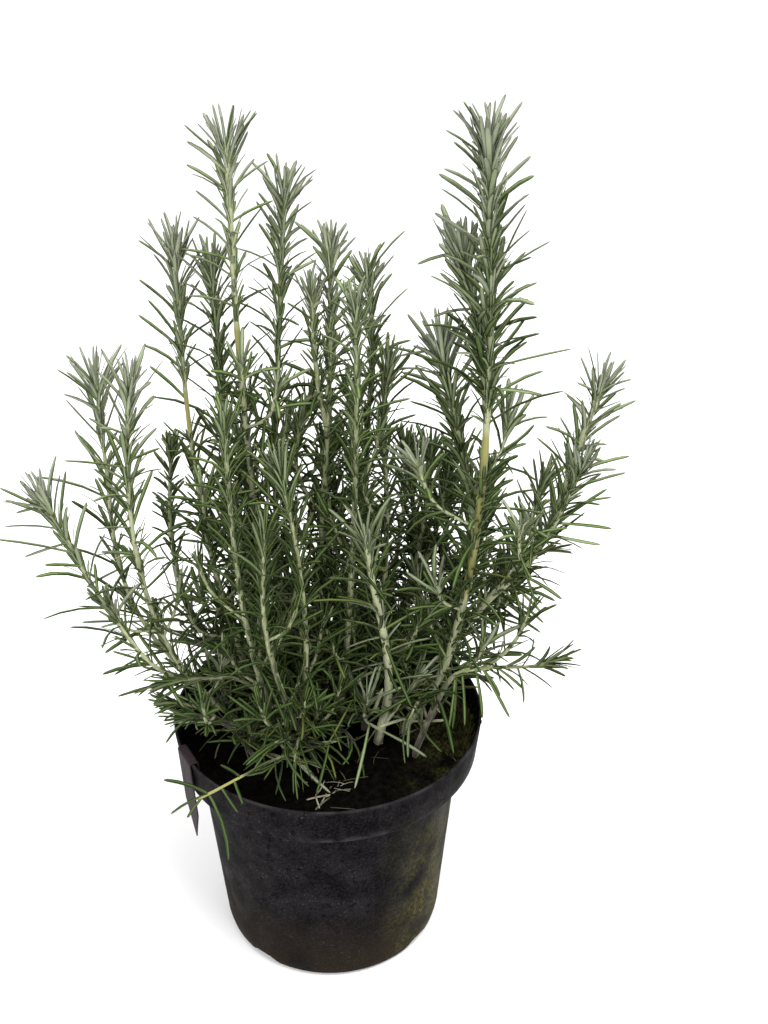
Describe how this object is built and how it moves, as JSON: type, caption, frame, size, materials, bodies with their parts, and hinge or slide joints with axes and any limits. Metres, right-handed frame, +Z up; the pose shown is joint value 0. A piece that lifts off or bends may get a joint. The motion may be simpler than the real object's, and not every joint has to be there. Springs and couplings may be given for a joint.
{
  "type": "potted rosemary plant",
  "caption": "Rosemary plant with upright leafy stems, standing in a plain black nursery pot of soil.",
  "frame": {"origin": "middle of the pot's flat underside", "axes": "+Z up along the pot's axis; the plant's pictured side faces -Y, and +X is to the right in that view"},
  "size_m": [0.3197, 0.2134, 0.5194],
  "materials": {
    "pot_plastic": "dusty satin black",
    "soil": "damp crumbly soil",
    "label_plastic": "faded satin",
    "rosemary": "waxy grey-green needles on pale stems"
  },
  "bodies": {
    "root": {"pot": "pot_plastic", "soil": "soil", "plant_label": "label_plastic", "leafy_stem_tall_left": "rosemary", "leafy_stem_back_left": "rosemary", "leafy_stem_left": "rosemary", "leafy_stem_left_inner": "rosemary", "leafy_stem_middle": "rosemary", "leafy_stem_middle_right": "rosemary", "leafy_stem_centre": "rosemary", "leafy_stem_centre_right": "rosemary", "leafy_stem_front": "rosemary", "leafy_stem_tall_right": "rosemary", "leafy_stem_right": "rosemary", "leafy_stem_right_low": "rosemary", "leafy_stem_right_back": "rosemary", "leafy_stem_back_right": "rosemary", "leafy_stem_left_fork": "rosemary", "leafy_stem_left_front": "rosemary", "leafy_stem_front_left": "rosemary", "leafy_stem_back_far_left": "rosemary", "leafy_stem_front_low": "rosemary", "leafy_stem_left_low": "rosemary", "leafy_stem_back_low_left": "rosemary", "leafy_stem_back_low_middle": "rosemary", "leafy_stem_back_low_right": "rosemary", "leafy_stem_back_right_low": "rosemary"}
  },
  "joints": []
}
